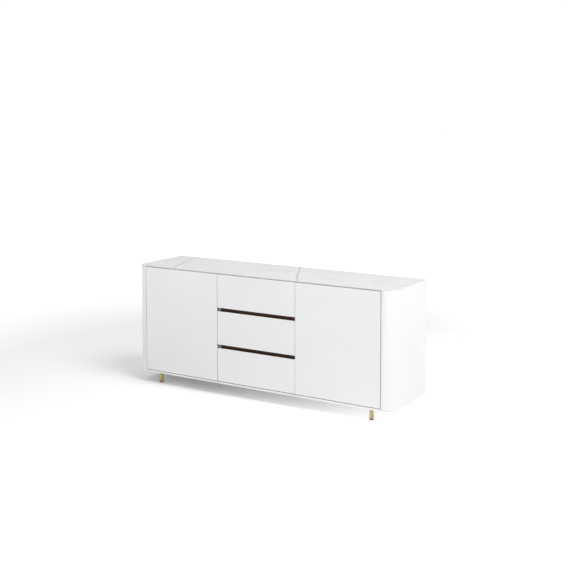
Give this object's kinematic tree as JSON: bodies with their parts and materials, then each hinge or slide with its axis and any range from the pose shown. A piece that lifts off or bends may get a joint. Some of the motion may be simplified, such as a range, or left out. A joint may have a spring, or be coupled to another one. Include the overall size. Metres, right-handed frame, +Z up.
{
  "type": "sideboard buffet",
  "caption": "Low white sideboard with rounded front corners, thin stone top, push-open doors, centre drawers with dark finger grooves and short brass legs.",
  "frame": {"origin": "on the floor, under the centre of the body", "axes": "+X along the width to the right when facing the fronts, +Y from the fronts to the back, +Z up"},
  "size_m": [1.8, 0.45, 0.75],
  "materials": {
    "stone": "satin sintered stone, white with grey and brown veins",
    "lacquer": "satin white lacquer on fibreboard",
    "melamine": "matt white melamine on chipboard",
    "raw_board": "raw fibreboard",
    "rail_brown": "matt dark brown",
    "brass": "brushed brass",
    "pad": "matt dark grey-brown",
    "steel": "zinc-plated",
    "nickel": "nickel-plated",
    "latch_grey": "moulded grey",
    "latch_white": "moulded white",
    "bumper": "clear soft polymer"
  },
  "bodies": {
    "cabinet": {"back_panel": "melamine", "back_screws": "steel", "base_board": "lacquer", "bottom_panel": "melamine", "bumpers": "bumper", "carcass_screws": "steel", "divider_left": "melamine", "divider_right": "melamine", "fitting_screws": "steel", "foot_pads": "pad", "grip_rail_lower": "rail_brown", "grip_rail_upper": "rail_brown", "hinge_arms": "nickel", "hinge_pins": "nickel", "hinge_plates": "nickel", "inner_side_left": "melamine", "inner_side_right": "melamine", "latch_housings": "latch_grey", "leg_bolts": "steel", "leg_front_left": "brass", "leg_front_right": "brass", "leg_rear_left": "brass", "leg_rear_right": "brass", "runner_cabinet_members": "steel", "shelf_left": "melamine", "shelf_pins": "nickel", "shelf_right": "melamine", "side_shell_left": "lacquer", "side_shell_right": "lacquer", "spacer_battens": "raw_board", "stone_top": "stone", "top_panel": "melamine"},
    "door_left": {"door_left": "lacquer", "hinge_cups_left": "nickel"},
    "plunger_left": {"latch_plunger_left": "latch_white"},
    "door_right": {"door_right": "lacquer", "hinge_cups_right": "nickel"},
    "plunger_right": {"latch_plunger_right": "latch_white"},
    "drawer_lower": {"drawer_lower_front": "lacquer", "drawer_lower_side_left": "melamine", "drawer_lower_side_right": "melamine", "drawer_lower_back": "melamine", "drawer_lower_bottom": "melamine", "runner_drawer_members_lower": "steel"},
    "runners_lower": {"runner_middle_members_lower": "steel"},
    "drawer_centre": {"drawer_centre_front": "lacquer", "drawer_centre_side_left": "melamine", "drawer_centre_side_right": "melamine", "drawer_centre_back": "melamine", "drawer_centre_bottom": "melamine", "runner_drawer_members_centre": "steel"},
    "runners_centre": {"runner_middle_members_centre": "steel"},
    "drawer_upper": {"drawer_upper_front": "lacquer", "drawer_upper_side_left": "melamine", "drawer_upper_side_right": "melamine", "drawer_upper_back": "melamine", "drawer_upper_bottom": "melamine", "runner_drawer_members_upper": "steel"},
    "runners_upper": {"runner_middle_members_upper": "steel"}
  },
  "joints": [
    {"name": "door_left_hinge", "type": "hinge", "parent": "cabinet", "child": "door_left", "pos_m": [-0.808, -0.215, 0.413], "axis": [0, 0, -1], "range_deg": [0, 90]},
    {"name": "door_right_hinge", "type": "hinge", "parent": "cabinet", "child": "door_right", "pos_m": [0.808, -0.215, 0.413], "axis": [0, 0, 1], "range_deg": [0, 90]},
    {"name": "plunger_left_slide", "type": "slide", "parent": "cabinet", "child": "plunger_left", "axis": [0, -1, 0], "range_m": [0, 0.02]},
    {"name": "plunger_right_slide", "type": "slide", "parent": "cabinet", "child": "plunger_right", "axis": [0, -1, 0], "range_m": [0, 0.02]},
    {"name": "drawer_lower_slide", "type": "slide", "parent": "cabinet", "child": "drawer_lower", "axis": [0, -1, 0], "range_m": [0, 0.35]},
    {"name": "drawer_centre_slide", "type": "slide", "parent": "cabinet", "child": "drawer_centre", "axis": [0, -1, 0], "range_m": [0, 0.35]},
    {"name": "drawer_upper_slide", "type": "slide", "parent": "cabinet", "child": "drawer_upper", "axis": [0, -1, 0], "range_m": [0, 0.35]},
    {"name": "runners_lower_slide", "type": "slide", "parent": "cabinet", "child": "runners_lower", "axis": [0, -1, 0], "range_m": [0, 0.175]},
    {"name": "runners_centre_slide", "type": "slide", "parent": "cabinet", "child": "runners_centre", "axis": [0, -1, 0], "range_m": [0, 0.175]},
    {"name": "runners_upper_slide", "type": "slide", "parent": "cabinet", "child": "runners_upper", "axis": [0, -1, 0], "range_m": [0, 0.175]}
  ],
  "couplings": [
    {"joint": "plunger_left_slide", "follows": "door_left_hinge", "m_per_rad": 0.0127},
    {"joint": "plunger_right_slide", "follows": "door_right_hinge", "m_per_rad": 0.0127},
    {"joint": "runners_lower_slide", "follows": "drawer_lower_slide", "ratio": 0.5},
    {"joint": "runners_centre_slide", "follows": "drawer_centre_slide", "ratio": 0.5},
    {"joint": "runners_upper_slide", "follows": "drawer_upper_slide", "ratio": 0.5}
  ]
}
